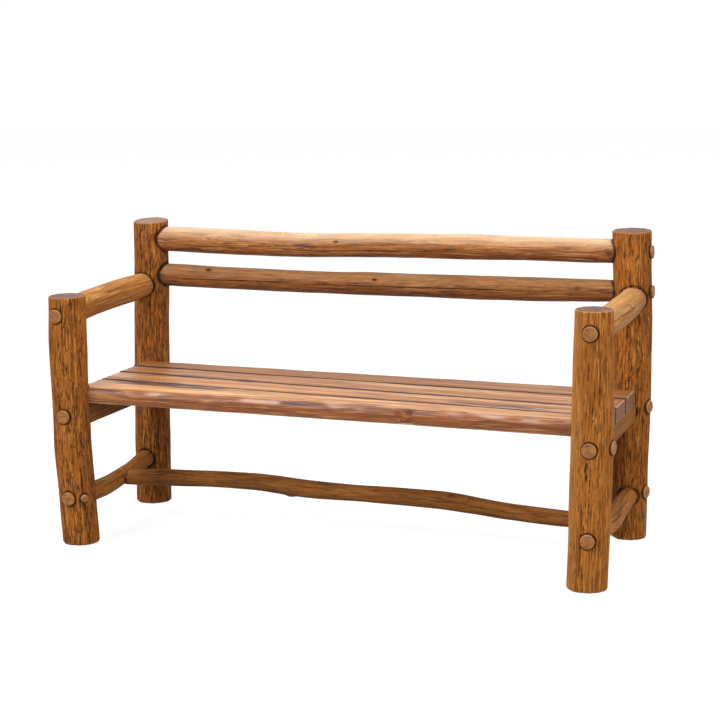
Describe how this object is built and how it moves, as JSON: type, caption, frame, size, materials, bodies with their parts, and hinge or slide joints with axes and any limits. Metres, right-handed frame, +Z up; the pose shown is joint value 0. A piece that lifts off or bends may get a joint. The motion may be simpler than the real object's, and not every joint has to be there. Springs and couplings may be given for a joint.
{
  "type": "garden bench",
  "caption": "Rustic log bench with round posts, a plank seat, two back rails, log arms and stretchers, joined with round tenons and pegs",
  "frame": {"origin": "the middle of the footprint on the floor, under the bench's bounding box", "axes": "+X along the seat from left to right as seen from the front, +Y from the front to the back, +Z up"},
  "size_m": [1.6466, 0.6478, 0.894],
  "materials": {
    "post_wood": "satin",
    "rail_wood": "satin",
    "arm_wood": "satin",
    "stretcher_wood": "satin",
    "bearer_wood": "satin",
    "plank_wood": "satin",
    "peg_wood": "satin",
    "screw_steel": "satin"
  },
  "bodies": {
    "root": {"front_post_left": "post_wood", "front_post_right": "post_wood", "back_post_left": "post_wood", "back_post_right": "post_wood", "back_rail_top": "rail_wood", "back_rail_lower": "rail_wood", "arm_rail_left": "arm_wood", "side_stretcher_left": "stretcher_wood", "seat_bearer_left": "bearer_wood", "arm_rail_right": "arm_wood", "side_stretcher_right": "stretcher_wood", "seat_bearer_right": "bearer_wood", "seat_plank_front": "plank_wood", "seat_plank_second": "plank_wood", "seat_plank_third": "plank_wood", "seat_plank_back": "plank_wood", "centre_stretcher": "stretcher_wood", "bearer_peg_front_left": "peg_wood", "bearer_peg_back_left": "peg_wood", "stretcher_peg_back_left": "peg_wood", "bearer_peg_front_right": "peg_wood", "bearer_peg_back_right": "peg_wood", "stretcher_peg_back_right": "peg_wood", "stretcher_pin_front_left": "peg_wood", "seat_screws_left": "screw_steel", "seat_screws_right": "screw_steel"}
  },
  "joints": []
}
